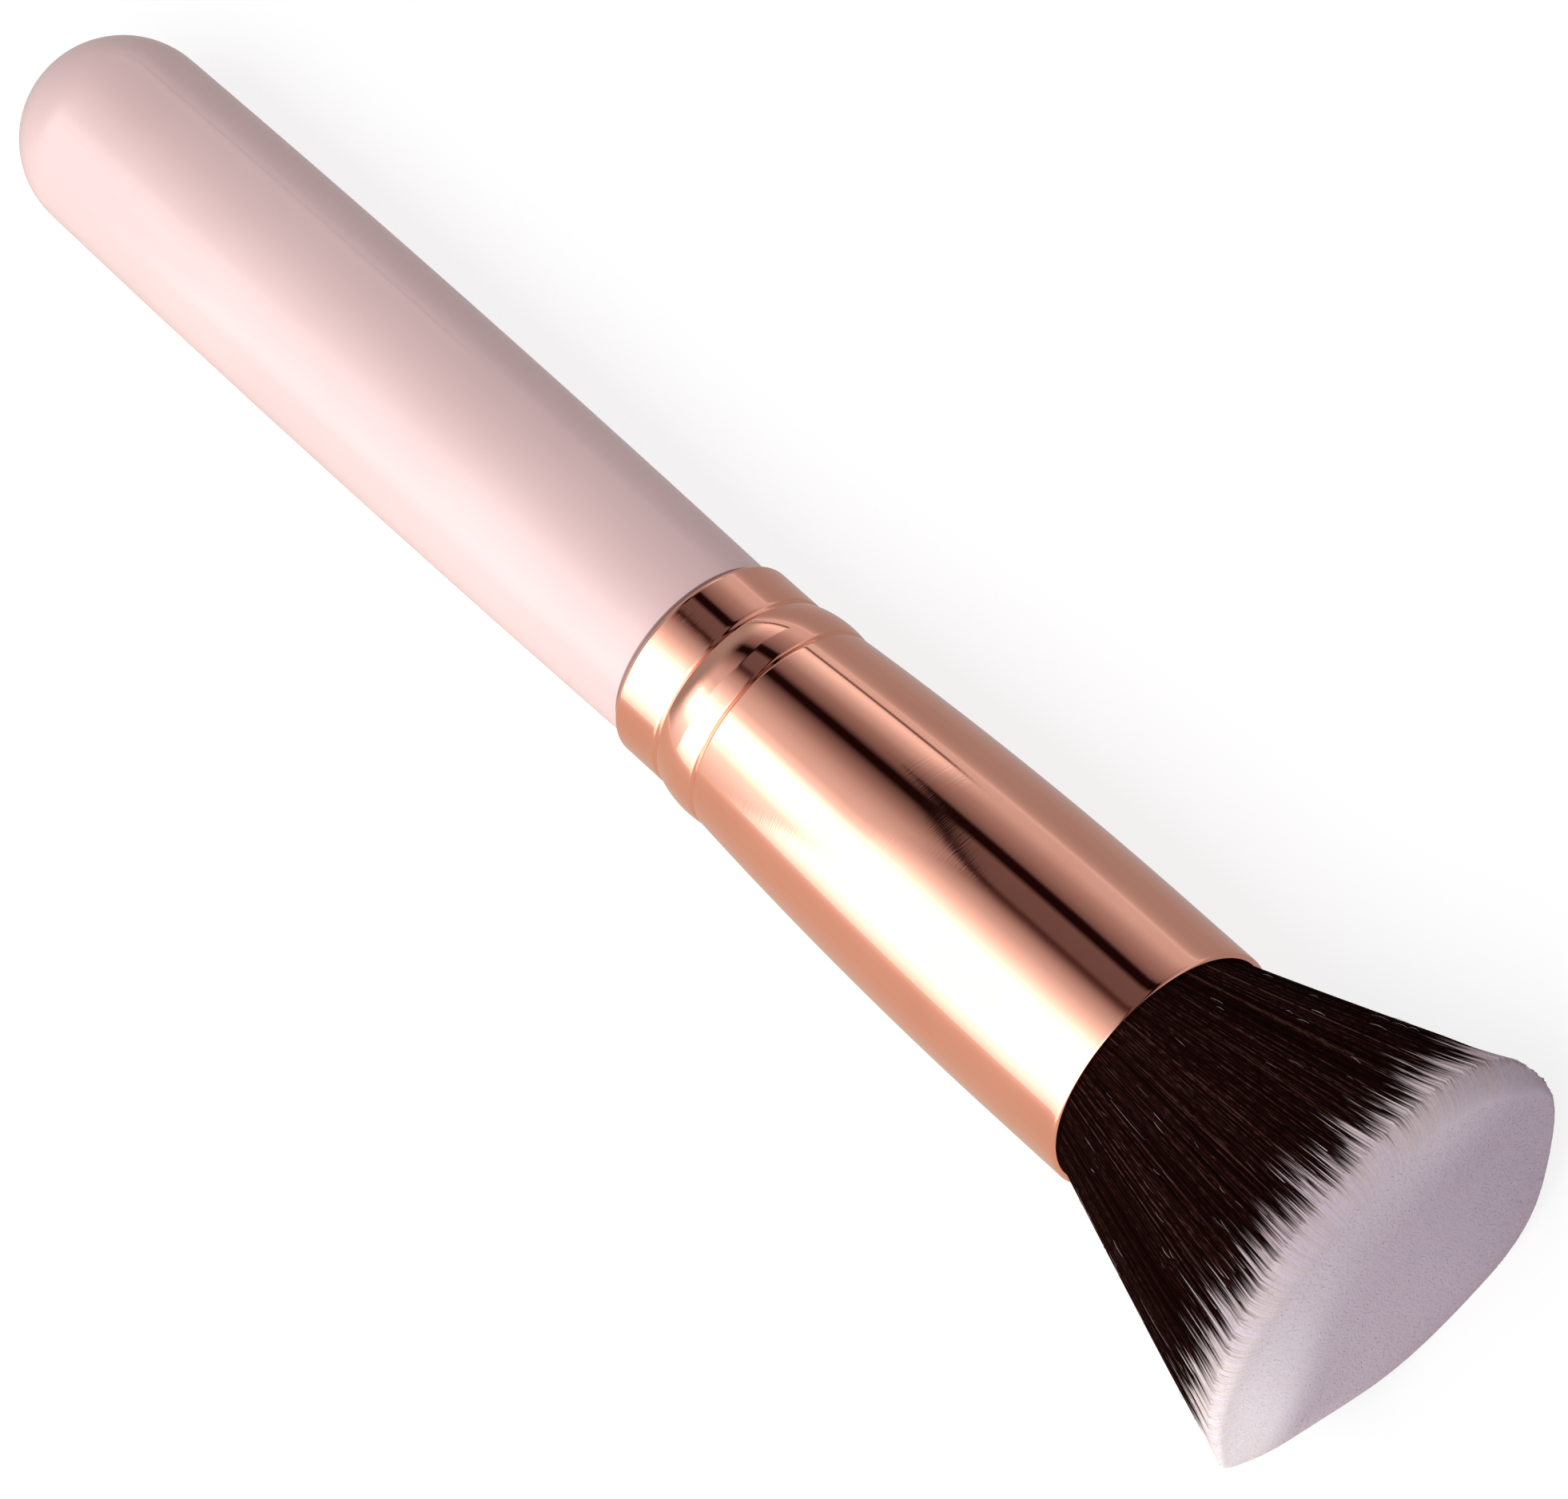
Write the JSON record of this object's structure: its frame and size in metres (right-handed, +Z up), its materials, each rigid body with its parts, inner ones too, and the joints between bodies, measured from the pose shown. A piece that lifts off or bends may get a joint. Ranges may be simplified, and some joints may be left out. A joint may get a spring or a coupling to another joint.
{
  "type": "kabuki makeup brush",
  "caption": "Flat-topped kabuki makeup brush with a lacquered handle, a polished rose metal ferrule and a dense two-tone tuft of hair that bends at its root.",
  "frame": {"origin": "on the table, under the middle of the box of the brush as it lies on its hair rim and its butt", "axes": "+X along the brush from the butt of the handle to the flat top of the hair, +Z up from the table, Y across the wide way of the tuft"},
  "size_m": [0.161, 0.0366, 0.0277],
  "materials": {
    "handle_lacquer": "pale pink gloss lacquer over turned wood",
    "rose_metal": "rose gold coloured, mirror polished",
    "clear_glue": "hardened clear glue",
    "root_resin": "hardened amber resin",
    "binding_thread": "waxed thread",
    "dark_hair": "dyed dark brown synthetic hair",
    "white_hair": "undyed white synthetic hair"
  },
  "bodies": {
    "grip_body": {"handle": "handle_lacquer", "ferrule": "rose_metal", "tenon_glue": "clear_glue", "root_resin": "root_resin", "root_binding": "binding_thread", "tuft_root": "dark_hair"},
    "tuft": {"tuft_shafts": "dark_hair", "tuft_tips": "white_hair"}
  },
  "joints": [
    {"name": "tuft_bend", "type": "hinge", "parent": "grip_body", "child": "tuft", "pos_m": [0.0491, 0, 0.01281], "axis": [0, 1, 0], "range_deg": [-20, 20], "stiffness_Nm_per_rad": 0.25}
  ]
}
